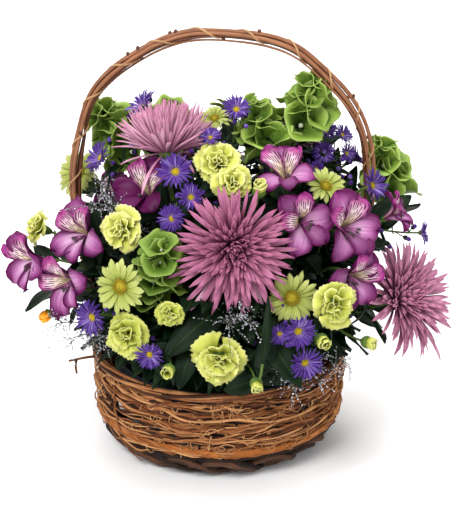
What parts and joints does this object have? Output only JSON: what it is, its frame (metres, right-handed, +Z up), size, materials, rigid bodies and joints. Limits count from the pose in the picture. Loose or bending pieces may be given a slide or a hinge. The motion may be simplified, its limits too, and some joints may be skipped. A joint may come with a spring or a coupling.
{
  "type": "flower basket arrangement",
  "caption": "Round vine basket with an arched handle, holding a full bouquet of cut flowers and foliage in wet foam.",
  "frame": {"origin": "the middle of the basket's flat underside", "axes": "+Z up along the basket's axis, +X to the right along the plane of the handle, -Y towards the front of the bouquet"},
  "size_m": [0.4301, 0.3234, 0.4294],
  "materials": {
    "vine_bark": "peeling brown vine bark, matt",
    "dark_vine": "dark vine bark, matt",
    "handle_vine": "red-brown peeled vine, faint sheen",
    "cane": "split cane, satin",
    "dish_plastic": "dark blue-grey moulded plastic, soft gloss",
    "wet_foam": "wet open-cell foam, matt",
    "mum_petal": "dusty pink ray petals, darker at the heart",
    "alstroemeria_petal": "magenta-purple petals with a pale streaked throat, soft sheen",
    "carnation_petal": "lime-yellow ruffled petals, matt",
    "daisy_petal": "pale lime ray petals round an olive-gold heart",
    "aster_petal": "violet-blue ray petals round a yellow heart",
    "limonium_floret": "tiny grey-lilac florets on green twigs",
    "bud_petal": "orange bud",
    "bell_calyx": "fresh green veined cups",
    "leaf_blade": "dark green leaf, waxy sheen"
  },
  "bodies": {
    "root": {"base_mat": "dark_vine", "weave_foot": "dark_vine", "weave_body": "vine_bark", "rim_hoop": "vine_bark", "handle_rod_outer": "handle_vine", "handle_rod_back": "handle_vine", "handle_rod_inner": "handle_vine", "handle_rod_front": "handle_vine", "handle_binding": "cane", "water_dish": "dish_plastic", "foam_block": "wet_foam", "alstroemeria_back_left": "alstroemeria_petal", "alstroemeria_back_right": "alstroemeria_petal", "alstroemeria_center": "alstroemeria_petal", "alstroemeria_left": "alstroemeria_petal", "alstroemeria_right": "alstroemeria_petal", "alstroemeria_upper_left": "alstroemeria_petal", "aster_back": "aster_petal", "aster_back_right": "aster_petal", "aster_front_right": "aster_petal", "aster_lower_left": "aster_petal", "aster_middle": "aster_petal", "aster_right": "aster_petal", "aster_top": "aster_petal", "aster_top_left": "aster_petal", "bells_back": "bell_calyx", "bells_front_left": "bell_calyx", "bells_left": "bell_calyx", "bells_right": "bell_calyx", "bells_top": "bell_calyx", "bells_top_right": "bell_calyx", "carnation_back_left": "carnation_petal", "carnation_back_right": "carnation_petal", "carnation_far_left": "carnation_petal", "carnation_front": "carnation_petal", "carnation_left": "carnation_petal", "carnation_lower_left": "carnation_petal", "carnation_right": "carnation_petal", "carnation_top": "carnation_petal", "daisy_handle": "daisy_petal", "daisy_left": "daisy_petal", "daisy_lower_right": "daisy_petal", "daisy_right": "daisy_petal", "daisy_top": "daisy_petal", "foliage_back_left": "leaf_blade", "foliage_back_right": "leaf_blade", "foliage_front_left": "leaf_blade", "foliage_front_right": "leaf_blade", "foliage_left": "leaf_blade", "foliage_right": "leaf_blade", "limonium_back": "limonium_floret", "limonium_center": "limonium_floret", "limonium_front_right": "limonium_floret", "limonium_left": "limonium_floret", "limonium_lower_left": "limonium_floret", "mum_back": "mum_petal", "mum_center": "mum_petal", "mum_right": "mum_petal", "mum_top_left": "mum_petal", "orange_bud": "bud_petal"}
  },
  "joints": []
}
